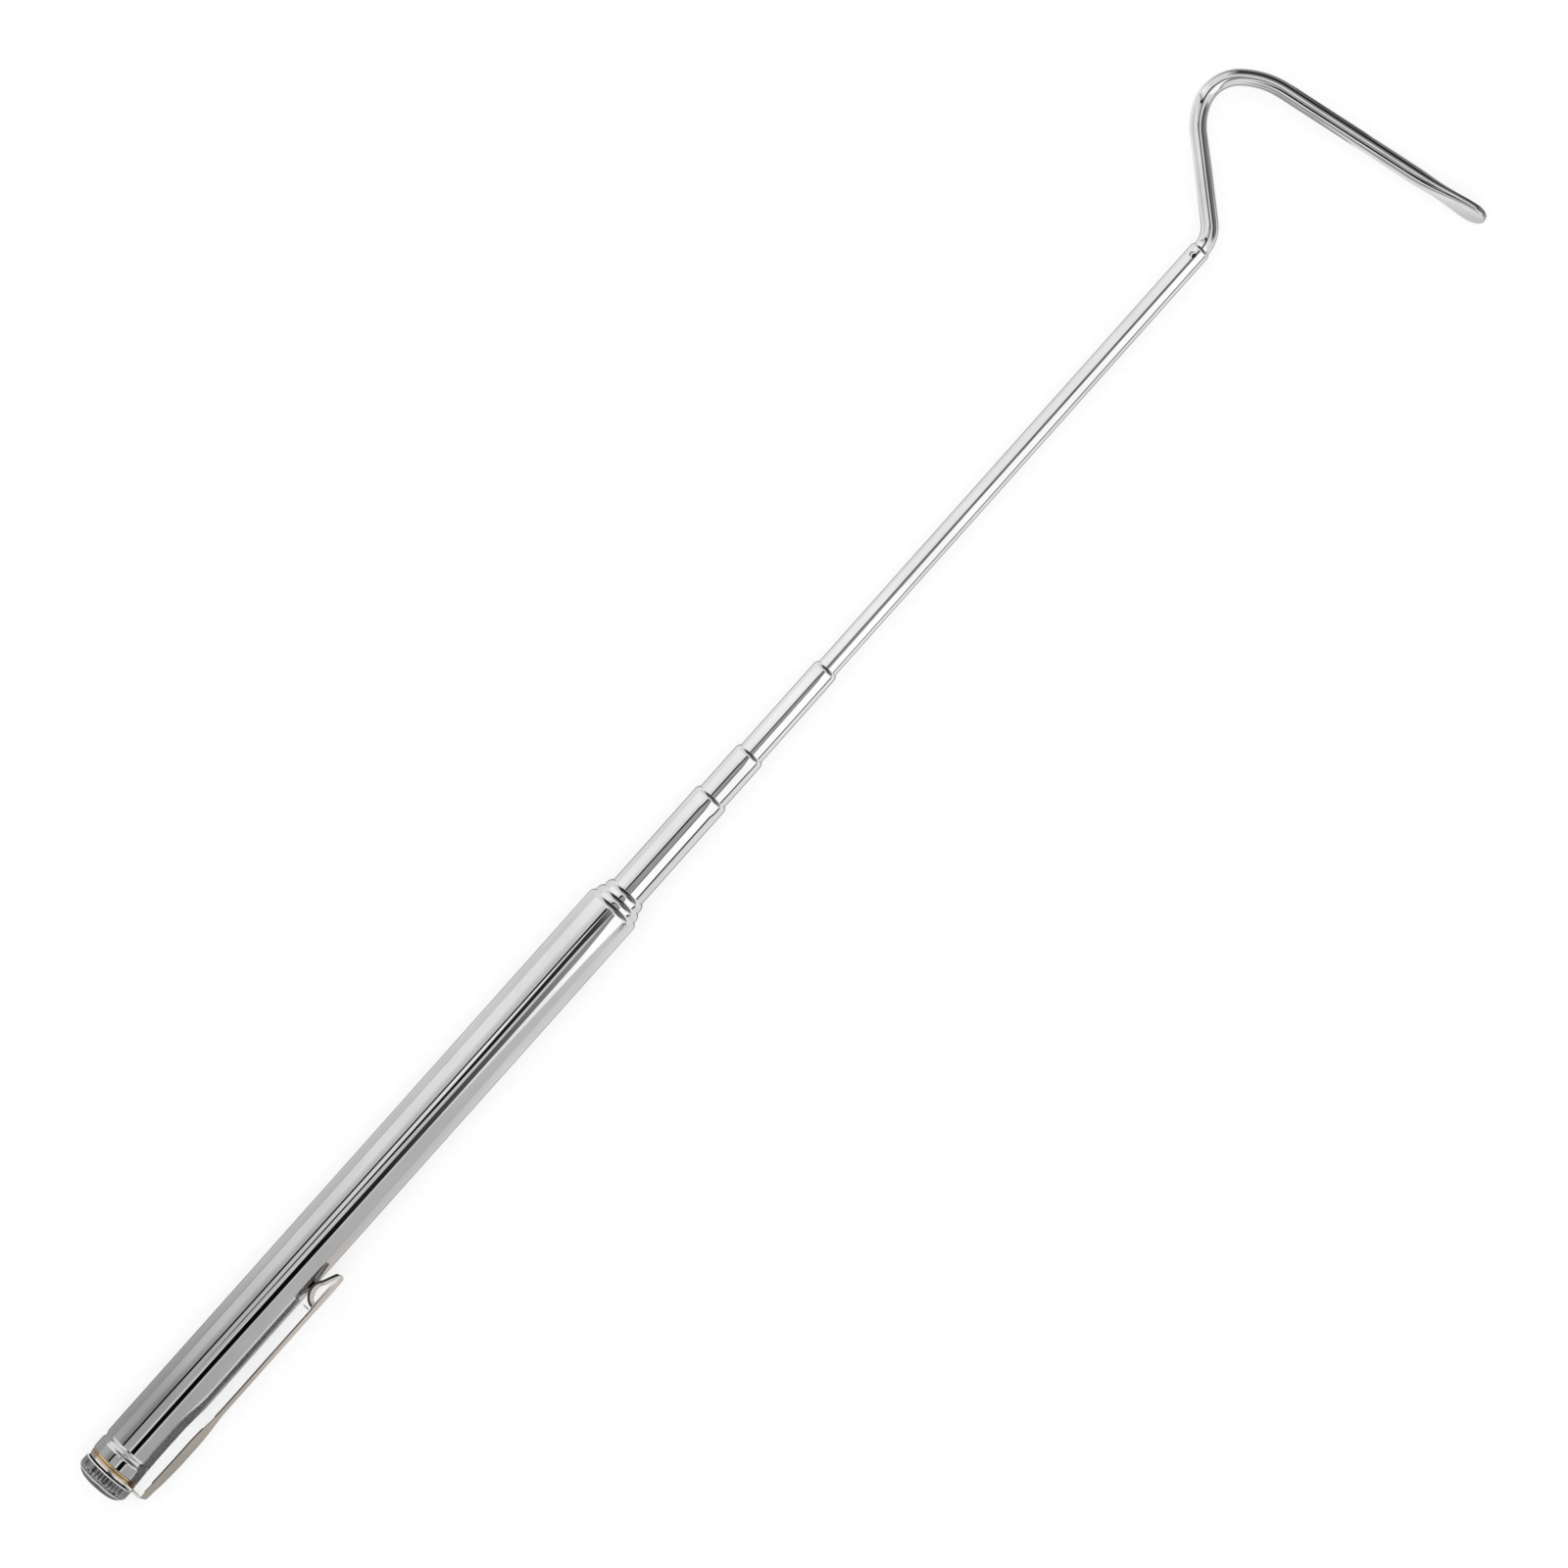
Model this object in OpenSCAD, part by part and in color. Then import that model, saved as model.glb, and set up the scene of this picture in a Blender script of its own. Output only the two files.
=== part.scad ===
// Telescoping pocket hook: a chromed handle tube with a knurled end cap and a
// pocket clip, six tubes that slide out of it, and a bent steel hook at the tip.
// X runs along the tool from the flat of the end cap to the hook, Z is up, and the
// handle and the hook's blade both lie on a table half a handle below the axis.
// All lengths are in millimetres.

/* [Handle] */
// Outside diameter of the handle tube
handle_d = 11; // [10.6:0.1:12]
// End cap's flat face to the handle's rounded front end
handle_end = 146.6; // [140:0.2:160]
// End cap's flat face to the middle of the rolled groove
groove_x = 8.6; // [8.4:0.1:9.4]
// Depth of the rolled groove that holds the threaded insert
groove_depth = 0.3; // [0.2:0.05:0.35]
// Width of the rolled groove at the surface
groove_width = 1.6; // [1.2:0.1:1.8]

/* [Telescoping tubes] */
// Drop in diameter from the handle to tube 1, tube 1 to 2, and tube 2 to 3
wide_step = 1.3; // [1.2:0.05:1.4]
// Drop in diameter from tube 3 to 4, 4 to 5, and 5 to 6
narrow_step = 1.0; // [0.95:0.05:1.05]
// Wall of the handle and of tubes 1 and 2
wide_wall = 0.4; // [0.35:0.05:0.45]
// Wall of tubes 3 to 6
narrow_wall = 0.3; // [0.25:0.05:0.35]
// Length of tube 1; each tube inside it is one nesting step longer
first_tube_length = 135; // [125:0.5:135]
// How far each tube's end stands out of the one around it when pushed in
nesting_step = 1.9; // [1.5:0.1:2.5]
// Length of tube 1 showing, pushed in
show_1 = 1.7; // [1.5:0.1:100]
// Length of tube 2 showing, pushed in
show_2 = 1.9; // [1.5:0.1:100]
// Length of tube 3 showing
show_3 = 24; // [2:0.5:110]
// Length of tube 4 showing
show_4 = 10.9; // [2:0.1:110]
// Length of tube 5 showing
show_5 = 21.5; // [2:0.5:110]
// Length of tube 6 showing
show_6 = 105.9; // [2:0.1:110]

/* [End cap and rings] */
// Diameter of the cap's flat end face
cap_flat_d = 5.6; // [4:0.2:6]
// Radius of the rounding from the flat to the knurl
cap_round = 2.93; // [2.8:0.01:3.2]
// Number of knurl grooves round the cap
knurl_count = 40; // [24:4:60]
// Depth of a knurl groove
knurl_depth = 0.22; // [0.1:0.02:0.3]
// Diameter of the cap's threaded shank
shank_d = 5.8; // [5:0.1:6]
// Pitch of the thread
thread_pitch = 0.75; // [0.5:0.05:1]
// Length of the shank beyond the cap
shank_length = 6.4; // [5:0.2:7]
// Thickness of the brass washer and of the insert's flange
brass_ring_t = 0.5; // [0.4:0.05:0.6]

/* [Pocket clip] */
// Thickness of the clip's sheet steel
clip_sheet = 0.45; // [0.4:0.05:0.5]
// End cap's flat face to the clip's tip
clip_tip = 60.4; // [56:0.2:66]
// Tool axis to the clip's outer face
clip_height = 8.7; // [8.4:0.1:9.2]
// Width of the clip at its shoulders
clip_shoulder_w = 6.6; // [5.5:0.1:7]
// Width of the clip's narrow part
clip_narrow_w = 3.1; // [2.8:0.1:3.6]
// Angle of the clip above the horizontal
clip_up = 15; // [0:1:30]

/* [Hook] */
// Diameter of the hook's rod
rod_d = 3.4; // [3.2:0.05:3.4]
// Radius and angle of the bend that leaves the tube
neck_r = 6.5; // [5:0.5:8]
// Angle of the neck above the tool's axis
neck_angle = 49; // [40:1:60]
// Length of the straight rise after the neck
rise_length = 16.6; // [12:0.2:20]
// Length of the straight leg, with its blade
leg_length = 45; // [36:1:55]
// Width of the flattened blade
blade_w = 6.4; // [5:0.2:7.5]
// Thickness of the flattened blade
blade_t = 1.9; // [1:0.1:2.4]
// Length over which the rod flattens into the blade
blade_length = 16.5; // [14:0.5:20]
// Turn of the blade's face about the leg
blade_twist = -18; // [-25:1:0]
// Turn of the whole hook about the tool's axis, so that the blade rests on a table
hook_roll = 4.2; // [0:0.1:8]

/* [Hidden] */
$fn = 72;
tube_count = 6;

chrome = "#c8ccd1";
knurled_chrome = "#8d9196";
brass = "#c8a049";
bronze = "#b07a44";

// Gap of a sliding fit, and of two flat faces that turn on each other
slide_fit = 0.05;
face_gap = 0.02;
// Cutters pass this far through what they cut
through = 1;

// Places along the axis, from the cap towards the handle
cap_knurl_x = 1.8;
cap_body_x = 3.85;
clip_ring_x = 4;
clip_ring_t = 0.5;
washer_x = clip_ring_x + clip_ring_t;
flange_x = washer_x + brass_ring_t + face_gap;
handle_x = flange_x + brass_ring_t;
insert_end = 12.2;

// Index 0 is the handle, and 1 to 6 are the tubes
function outer_r(i) =
    i <= 3 ? handle_d / 2 - i * wide_step / 2
           : handle_d / 2 - (3 * wide_step + (i - 3) * narrow_step) / 2;
function wall(i) = i < 3 ? wide_wall : narrow_wall;
function inner_r(i) = outer_r(i) - wall(i);
function shown(i) = [0, show_1, show_2, show_3, show_4, show_5, show_6][i];
function front_x(i) = i == 0 ? handle_end : front_x(i - 1) + shown(i);
function tube_length(i) = first_tube_length + (i - 1) * nesting_step;
function rear_x(i) = front_x(i) - tube_length(i);
// The closed-in mouth of a tube runs on the tube inside it, or on the hook's rod
function mouth_r(i) = i < tube_count ? outer_r(i + 1) + slide_fit : rod_d / 2 + face_gap;

// Closed-in front ends
mouth_length = 1.6;
mouth_drop_share = 0.93;
mouth_round_share = 3;

// What sits behind the mouth at each tube's rear end
collar_length = 3;
spring_from = 3.1;
spring_to = 13.5;
stop_bead_from = 13.6;
stop_bead_to = 14.4;
bead_clearance = 0.08;
spring_clearance = 0.03;
spring_sweep = 168;

// Joint in the clip: the middle of its bend
clip_bend_x = clip_ring_x + clip_ring_t / 2;
clip_bend_r = 7.6;
clip_tab_w = 4.4;
clip_rim_r = 5.2;
clip_flange_r = 6.2;
clip_flange_from = 4.7;
clip_flange_to = 52;

// The end of the strip is folded back into a round bow that presses on the handle
bow_x = 55.4;
bow_r = 3.2;
bow_ramp_x = 57.7;
bow_touch_r = handle_d / 2 + slide_fit;

// The crown of the hook is three arcs, tight in the middle
crown_r = [12.5, 7.4, 16.6];
crown_turn = [27.7, 70.5, 31.5];
hook_start = front_x(tube_count) - 0.2;
rod_inside = 14;
pin_d = 1.2;
pin_back = 2.1;
pin_turn = -16;
bend_step = 6;
blade_steps = 14;
rod_sides = 24;

// A shape turned round the tool's axis: x of the outline is the radius, y runs along X
module turned() { rotate([0, 90, 0]) rotate_extrude() children(); }

// A ring's outline between two radii and two places along the axis
module band(r_from, r_to, x_from, x_to) {
    translate([r_from, x_from]) square([r_to - r_from, x_to - x_from]);
}

// What is cut from a square outer corner to leave a closed-in round end
module corner_off(r, drop, x_end) {
    round_r = mouth_round_share * drop;
    back = sqrt(pow(round_r, 2) - pow(round_r - drop, 2));
    difference() {
        translate([r - drop, x_end - back]) square([drop + through, back + through]);
        translate([r - round_r, x_end - back]) circle(r = round_r);
    }
}

// Wall, thick closed-in mouth and rounded lip of the handle or of a tube
module tube_outline(i, x_from) {
    drop = mouth_drop_share * (outer_r(i) - mouth_r(i));
    difference() {
        union() {
            band(inner_r(i), outer_r(i), x_from, front_x(i));
            band(mouth_r(i), outer_r(i), front_x(i) - mouth_length, front_x(i));
        }
        corner_off(outer_r(i), drop, front_x(i));
    }
}

// Centre and radius of the rolled groove's round bottom
groove_r = (pow(groove_width / 2, 2) + pow(groove_depth, 2)) / (2 * groove_depth);
groove_centre = [handle_d / 2 - groove_depth + groove_r, groove_x];

module handle_tube() {
    color(chrome) turned() difference() {
        union() {
            tube_outline(0, handle_x);
            intersection() {
                translate(groove_centre) circle(r = groove_r + wide_wall);
                band(inner_r(0) - through, inner_r(0) + wide_wall / 2, handle_x, insert_end);
            }
        }
        translate(groove_centre) circle(r = groove_r);
    }
}

// Brass bush with the cap's thread, held by the rolled groove
module thread_insert() {
    bore_r = shank_d / 2 + slide_fit;
    color(brass) turned() difference() {
        union() {
            band(bore_r, inner_r(0) - face_gap, flange_x, insert_end);
            band(bore_r, handle_d / 2 - 0.1, flange_x, handle_x);
        }
        translate(groove_centre) circle(r = groove_r + wide_wall + face_gap);
    }
}

module brass_washer() {
    color(brass) turned()
        band(shank_d / 2 + slide_fit, handle_d / 2 - 0.15, washer_x, washer_x + brass_ring_t);
}

// A thread as plain ring grooves along a shank
module thread_grooves(r, x_from, x_to) {
    for (x = [x_from : thread_pitch : x_to])
        polygon([[r + 0.1, x - 0.3], [r + 0.1, x + 0.3], [r - 0.35, x]]);
}

module end_cap() {
    knurl_r = handle_d / 2;
    hub_r = 4.6;
    edge = 0.25;
    shank_r = shank_d / 2;
    shank_end = clip_ring_x + shank_length;
    color(knurled_chrome) difference() {
        turned() difference() {
            union() {
                band(0, knurl_r, cap_knurl_x, cap_body_x);
                intersection() {
                    translate([cap_flat_d / 2, cap_round]) circle(r = cap_round);
                    band(cap_flat_d / 2, knurl_r, 0, cap_knurl_x);
                }
                band(0, cap_flat_d / 2, 0, cap_knurl_x);
                band(0, hub_r, cap_body_x, clip_ring_x - face_gap);
                band(0, shank_r, cap_body_x, shank_end);
            }
            polygon([[knurl_r - edge * 1.6, cap_body_x], [knurl_r + through, cap_body_x],
                     [knurl_r + through, cap_body_x - edge], [knurl_r, cap_body_x - edge]]);
            polygon([[shank_r - 0.4, shank_end], [shank_r + 0.1, shank_end],
                     [shank_r + 0.1, shank_end - 0.5]]);
            thread_grooves(shank_r, washer_x + brass_ring_t, shank_end - thread_pitch);
        }
        for (k = [0 : knurl_count - 1])
            rotate([k * 360 / knurl_count, 0, 0])
                translate([0.8, 0, knurl_r]) rotate([0, 90, 0])
                    linear_extrude(height = cap_body_x)
                        polygon([[knurl_depth, 0], [-0.2, 0.5], [-0.2, -0.5]]);
    }
}

// The clip's own frame: X along the tool, Y across the clip, Z out from the tool's axis
module clip_frame() { rotate([90 - clip_up, 0, 0]) children(); }

// An outline of X and Z made as wide as the clip needs
module across(w) { translate([0, w / 2, 0]) rotate([90, 0, 0]) linear_extrude(height = w) children(); }

// The ring and its tab are one flat pressing, drawn with the tab along minus X of its outline
module clip_ring() {
    tab_top = clip_bend_r - clip_ring_t / 2 - face_gap;
    color(chrome) clip_frame() translate([clip_ring_x, 0, 0]) rotate([0, 90, 0])
        linear_extrude(height = clip_ring_t) difference() {
            union() {
                circle(r = clip_rim_r);
                translate([-tab_top, -clip_tab_w / 2]) square([tab_top, clip_tab_w]);
            }
            circle(r = shank_d / 2 + slide_fit);
        }
}

// Plan of the clip, drawn in from its edge by a margin
module clip_plan(margin) {
    half = [for (p = [[clip_bend_x - 0.25, clip_tab_w / 2], [8, 2.95], [13, clip_shoulder_w / 2],
                      [19, clip_shoulder_w / 2], [22, 2.75], [26.5, clip_narrow_w / 2],
                      [clip_tip - clip_narrow_w / 2, clip_narrow_w / 2]]) [p[0], p[1] - margin]];
    polygon(concat(half, [for (k = [len(half) - 1 : -1 : 0]) [half[k][0], -half[k][1]]]));
    translate([clip_tip - clip_narrow_w / 2, 0]) circle(r = clip_narrow_w / 2 - margin);
}

// Side view of the clip's strip with its flanges; the top line rises from the bend
module clip_side(margin) {
    top = clip_height - margin;
    polygon([[clip_bend_x, clip_bend_r - 0.25], [clip_bend_x, clip_bend_r + 0.4 - margin],
             [4.6, 8.25 - margin], [8, 8.5 - margin], [14, top], [clip_flange_to, top],
             [clip_flange_to, clip_flange_r - margin],
             [clip_flange_from, clip_flange_r - margin], [clip_flange_from, clip_bend_r - 0.25]]);
}

// Side view of the folded-back end, a bow and a straight ramp to the tip
module bow_side(margin) {
    foot = clip_height - 0.05 - margin;
    intersection() {
        union() {
            translate([bow_x, bow_touch_r + bow_r]) circle(r = bow_r - margin);
            polygon([[bow_x, foot], [bow_ramp_x, 6.55 + margin * 1.2], [clip_tip - margin * 2, foot]]);
        }
        translate([bow_x - 5, bow_touch_r - through]) square([10, foot - bow_touch_r + through]);
    }
}

module clip_arm() {
    color(chrome) clip_frame() {
        difference() {
            intersection() {
                across(2 * clip_shoulder_w) clip_side(0);
                linear_extrude(height = clip_height + through) clip_plan(0);
            }
            intersection() {
                across(2 * clip_shoulder_w) translate([through, 0]) clip_side(clip_sheet);
                linear_extrude(height = clip_height) clip_plan(clip_sheet);
            }
        }
        intersection() {
            across(2 * clip_shoulder_w) difference() {
                union() {
                    bow_side(0);
                    translate([clip_flange_to - 0.5, clip_height - clip_sheet])
                        square([clip_tip - clip_flange_to + 0.5, clip_sheet]);
                }
                bow_side(clip_sheet);
            }
            linear_extrude(height = clip_height + through) clip_plan(0);
        }
        translate([clip_bend_x, 0, clip_bend_r]) rotate([90, 0, 0])
            cylinder(r = clip_ring_t / 2, h = clip_tab_w, center = true);
    }
}

module telescoping_tube(i) {
    bead_r = inner_r(i - 1) - bead_clearance;
    color(chrome) difference() {
        turned() {
            tube_outline(i, rear_x(i));
            band(inner_r(i), bead_r, rear_x(i) + stop_bead_from, rear_x(i) + stop_bead_to);
        }
        if (i == tube_count) pin_hole(outer_r(i) + through);
    }
}

// Brass bush on the rear end of a tube, which runs inside the tube around it
module base_collar(i) {
    color(brass) turned()
        band(outer_r(i) + face_gap / 2, inner_r(i - 1) - slide_fit,
             rear_x(i), rear_x(i) + collar_length);
}

// Two bronze half shells that press on the tube around them
module friction_springs(i) {
    color(bronze) for (side = [0, 180])
        rotate([side + (180 - spring_sweep) / 2, 0, 0]) rotate([0, 90, 0])
            rotate_extrude(angle = spring_sweep)
                band(outer_r(i) + spring_clearance, inner_r(i - 1) - spring_clearance,
                     rear_x(i) + spring_from, rear_x(i) + spring_to);
}

// The cross pin's place, through the last tube and the hook's rod
module pin_place() {
    translate([front_x(tube_count) - pin_back, 0, 0]) rotate([pin_turn, 0, 0]) children();
}

module pin_hole(reach) {
    pin_place() cylinder(d = pin_d + 2 * face_gap, h = 2 * reach, center = true);
}

module hook_pin() {
    tip_r = sqrt(pow(outer_r(tube_count), 2) - pow(pin_d / 2, 2));
    color(knurled_chrome) pin_place() cylinder(d = pin_d, h = 2 * tip_r, center = true);
}

// The rod's centre line is a list of stations [x, y, heading, length of blade so far]
function bend_stations(from, r, turn) =
    let (side = sign(turn), steps = ceil(abs(turn) / bend_step))
    [for (k = [1 : steps]) let (h = from[2] + turn * k / steps)
        [from[0] + side * r * (sin(h) - sin(from[2])),
         from[1] - side * r * (cos(h) - cos(from[2])), h, 0]];
function straight_station(from, length, blade = 0) =
    [from[0] + length * cos(from[2]), from[1] + length * sin(from[2]), from[2], blade];
function last(list) = list[len(list) - 1];

rod_start = [hook_start - rod_inside, 0, 0, 0];
neck_start = [hook_start, 0, 0, 0];
neck = bend_stations(neck_start, neck_r, neck_angle);
rise_top = straight_station(last(neck), rise_length);
crown_a = bend_stations(rise_top, crown_r[0], -crown_turn[0]);
crown_b = bend_stations(last(crown_a), crown_r[1], -crown_turn[1]);
crown_c = bend_stations(last(crown_b), crown_r[2], -crown_turn[2]);
blade_start = straight_station(last(crown_c), leg_length - blade_length);
// Blade stations crowd towards the round end
blade_run = [for (k = [1 : blade_steps]) blade_length * sin(90 * k / blade_steps)];
blade_stations = [for (b = blade_run) straight_station(blade_start, b, b)];
rod_stations = concat([rod_start, neck_start], neck, [rise_top], crown_a, crown_b, crown_c,
                      [blade_start], blade_stations);

// The section at a station: half thickness in the hook's plane and half width across it
function ease(u) = u * u * (3 - 2 * u);
function flattening(b) = ease(min(1, b / (blade_length - blade_w / 2)));
function round_end(b) =
    let (past = max(0, b - (blade_length - blade_w / 2)) / (blade_w / 2))
    sqrt(max(0.0004, 1 - past * past));
function half_width(b) = (rod_d + (blade_w - rod_d) * flattening(b)) / 2 * round_end(b);
function half_thick(b) =
    (rod_d + (blade_t - rod_d) * flattening(b)) / 2 * (0.4 + 0.6 * round_end(b));
// The blade's edges are squarer than an ellipse, by this power of the section's sine and cosine
function edge_power(b) = 1 - 0.45 * flattening(b);
function signed_power(v, e) = sign(v) * pow(abs(v), e);
function section_point(st, angle) =
    let (b = st[3], e = edge_power(b), twist = blade_twist * flattening(b),
         t = half_thick(b) * signed_power(cos(angle), e),
         w = half_width(b) * signed_power(sin(angle), e),
         out = t * cos(twist) - w * sin(twist), up = t * sin(twist) + w * cos(twist))
    [st[0] - out * sin(st[2]), st[1] + out * cos(st[2]), up];

// One closed skin through all the sections
module swept_rod(stations, sides) {
    n = len(stations);
    points = [for (st = stations) for (k = [0 : sides - 1]) section_point(st, k * 360 / sides)];
    skin = [for (i = [0 : n - 2]) for (k = [0 : sides - 1])
        let (a = i * sides + k, b = i * sides + (k + 1) % sides)
        each [[a, a + sides, b], [b, a + sides, b + sides]]];
    first_end = [for (k = [0 : sides - 1]) k];
    last_end = [for (k = [sides - 1 : -1 : 0]) (n - 1) * sides + k];
    polyhedron(points, concat([first_end], skin, [last_end]), convexity = 6);
}

module hook() {
    color(chrome) difference() {
        rotate([hook_roll, 0, 0]) swept_rod(rod_stations, rod_sides);
        pin_hole(rod_d);
    }
}

handle_tube();
thread_insert();
brass_washer();
clip_ring();
clip_arm();
end_cap();
telescoping_tube(1);  // tube_1
telescoping_tube(2);  // tube_2
telescoping_tube(3);  // tube_3
telescoping_tube(4);  // tube_4
telescoping_tube(5);  // tube_5
telescoping_tube(6);  // tube_6
base_collar(1);  // base_collar_1
base_collar(2);  // base_collar_2
base_collar(3);  // base_collar_3
base_collar(4);  // base_collar_4
base_collar(5);  // base_collar_5
base_collar(6);  // base_collar_6
friction_springs(1);  // friction_springs_1
friction_springs(2);  // friction_springs_2
friction_springs(3);  // friction_springs_3
friction_springs(4);  // friction_springs_4
friction_springs(5);  // friction_springs_5
friction_springs(6);  // friction_springs_6
hook();
hook_pin();
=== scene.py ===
"""Telescoping pocket hook.

A chromed handle with a knurled cap and a pocket clip, six sliding tubes and a bent steel hook.
"""

import math

import bmesh
import bpy
import numpy as np
from mathutils import Matrix, Vector


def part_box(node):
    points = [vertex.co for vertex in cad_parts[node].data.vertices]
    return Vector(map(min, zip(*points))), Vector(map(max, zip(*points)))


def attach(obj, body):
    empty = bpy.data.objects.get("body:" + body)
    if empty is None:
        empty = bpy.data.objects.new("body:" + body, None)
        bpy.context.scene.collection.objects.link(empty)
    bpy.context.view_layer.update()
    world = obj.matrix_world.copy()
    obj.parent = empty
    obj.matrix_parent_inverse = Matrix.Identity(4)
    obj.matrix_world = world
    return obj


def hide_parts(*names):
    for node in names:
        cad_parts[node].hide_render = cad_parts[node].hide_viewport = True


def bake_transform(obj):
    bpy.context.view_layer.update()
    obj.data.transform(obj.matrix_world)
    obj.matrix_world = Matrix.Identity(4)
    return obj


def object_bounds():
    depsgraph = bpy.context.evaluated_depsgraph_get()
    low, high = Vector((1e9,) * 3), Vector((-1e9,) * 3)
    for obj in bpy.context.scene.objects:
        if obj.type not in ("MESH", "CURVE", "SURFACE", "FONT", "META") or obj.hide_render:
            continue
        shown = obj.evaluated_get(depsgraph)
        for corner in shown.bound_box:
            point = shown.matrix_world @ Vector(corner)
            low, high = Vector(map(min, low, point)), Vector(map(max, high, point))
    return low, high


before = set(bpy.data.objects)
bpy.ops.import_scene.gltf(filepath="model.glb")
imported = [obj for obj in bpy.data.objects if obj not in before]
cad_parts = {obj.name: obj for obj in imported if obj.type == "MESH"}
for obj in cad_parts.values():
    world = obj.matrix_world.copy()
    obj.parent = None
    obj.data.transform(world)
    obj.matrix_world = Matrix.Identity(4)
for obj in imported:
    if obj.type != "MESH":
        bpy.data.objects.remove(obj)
cad_low, cad_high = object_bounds()
MM = 0.001

# ---------------------------------------------------------------- sizes, in millimetres

handle_r = 5.5
handle_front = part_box("handle_tube")[1].x / MM
handle_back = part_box("handle_tube")[0].x / MM
slide_fit = 0.05      # a tube in the mouth that guides it
rod_fit = 0.02        # the hook's rod in the last mouth
lip_long = 1.6        # straight part of a closed-in mouth
mouth_share = 0.93    # how much of the step to the next size a mouth's round takes
mouth_round = 3       # a mouth's round, as a multiple of its drop
clip_up = 15          # how far the clip is turned up from the floor, in degrees

# Radius, wall, rear end and front end of the handle (0) and of each tube
outer_r = [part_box("handle_tube")[1].y / MM] + [0] * 6
for i, drop in enumerate([0.65, 0.65, 0.65, 0.5, 0.5, 0.5]):
    outer_r[i + 1] = outer_r[i] - drop
wall = [0.4, 0.4, 0.4, 0.3, 0.3, 0.3, 0.3]
rear = [handle_back] + [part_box("tube_%d" % i)[0].x / MM for i in range(1, 7)]
front = [handle_front] + [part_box("tube_%d" % i)[1].x / MM for i in range(1, 7)]
rod_r = 1.69


# ---------------------------------------------------------------- modelling helpers

def put_away():
    """Back to object mode with nothing selected."""
    if bpy.context.object and bpy.context.object.mode != "OBJECT":
        bpy.ops.object.mode_set(mode="OBJECT")
    bpy.ops.object.select_all(action="DESELECT")


def pick_up(piece):
    put_away()
    piece.select_set(True)
    bpy.context.view_layer.objects.active = piece


def settle(piece):
    """Puts the piece's place and turn into its mesh."""
    pick_up(piece)
    bpy.ops.object.transform_apply(location=True, rotation=True, scale=True)


def centre(face):
    """A face's middle, in millimetres."""
    return face.calc_center_median() / MM


def off_axis(point):
    """How far a point is from the tool's axis."""
    return math.hypot(point.y, point.z)


def pick(piece, kind, test):
    """In edit mode, selects the vertices, edges or faces that pass a test."""
    bpy.ops.mesh.select_mode(type={"verts": "VERT", "edges": "EDGE", "faces": "FACE"}[kind])
    mesh = bmesh.from_edit_mesh(piece.data)
    for group in (mesh.faces, mesh.edges, mesh.verts):
        for element in group:
            element.select_set(False)
    for element in getattr(mesh, kind):
        if test(element):
            element.select_set(True)
    mesh.select_flush_mode()
    bmesh.update_edit_mesh(piece.data)


def soften(piece, width, angle=35, segments=2, even=True):
    """Rounds the sharp edges a little and keeps the flat and round faces true."""
    pick_up(piece)
    if width:
        bevel = piece.modifiers.new("soft edges", "BEVEL")
        bevel.width = width * MM
        bevel.segments = segments
        bevel.limit_method = "ANGLE"
        bevel.angle_limit = math.radians(angle)
        bevel.use_clamp_overlap = True
        bpy.ops.object.modifier_apply(modifier=bevel.name)
    bpy.ops.object.shade_smooth_by_angle(angle=math.radians(angle))
    if even:
        weigh = piece.modifiers.new("true faces", "WEIGHTED_NORMAL")
        weigh.mode = "FACE_AREA"
        weigh.keep_sharp = True
        bpy.ops.object.modifier_apply(modifier=weigh.name)


def turned(name, outline, sides=96):
    """A turned piece: its outline is drawn point by point beside the X axis, closed, and spun round it."""
    put_away()
    first_x, first_r = outline[0]
    bpy.ops.mesh.primitive_plane_add(size=0.1 * MM, location=(first_x * MM, 0, first_r * MM))
    piece = bpy.context.object
    piece.name = name
    settle(piece)
    bpy.ops.object.mode_set(mode="EDIT")
    bpy.ops.mesh.select_all(action="SELECT")
    bpy.ops.mesh.merge(type="CENTER")
    for (x_a, r_a), (x_b, r_b) in zip(outline, outline[1:]):
        bpy.ops.mesh.extrude_region_move(
            TRANSFORM_OT_translate={"value": ((x_b - x_a) * MM, 0, (r_b - r_a) * MM)})
    bpy.ops.mesh.select_all(action="SELECT")
    if first_r > 0:
        last_x, last_r = outline[-1]
        ends = [Vector((first_x * MM, 0, first_r * MM)), Vector((last_x * MM, 0, last_r * MM))]
        pick(piece, "verts", lambda v: min((v.co - end).length for end in ends) < 1e-7)
        bpy.ops.mesh.edge_face_add()
        bpy.ops.mesh.select_all(action="SELECT")
    bpy.ops.mesh.spin(steps=sides, angle=2 * math.pi, center=(0, 0, 0), axis=(1, 0, 0))
    bpy.ops.mesh.select_all(action="SELECT")
    bpy.ops.mesh.remove_doubles(threshold=2e-7)
    bpy.ops.mesh.normals_make_consistent(inside=False)
    bpy.ops.object.mode_set(mode="OBJECT")
    return piece


def arc(centre_x, centre_r, radius, start, stop, steps):
    """Points of an arc in the outline plane, by angle from the X axis."""
    return [(centre_x + radius * math.cos(math.radians(start + (stop - start) * k / steps)),
             centre_r + radius * math.sin(math.radians(start + (stop - start) * k / steps)))
            for k in range(steps + 1)]


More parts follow.
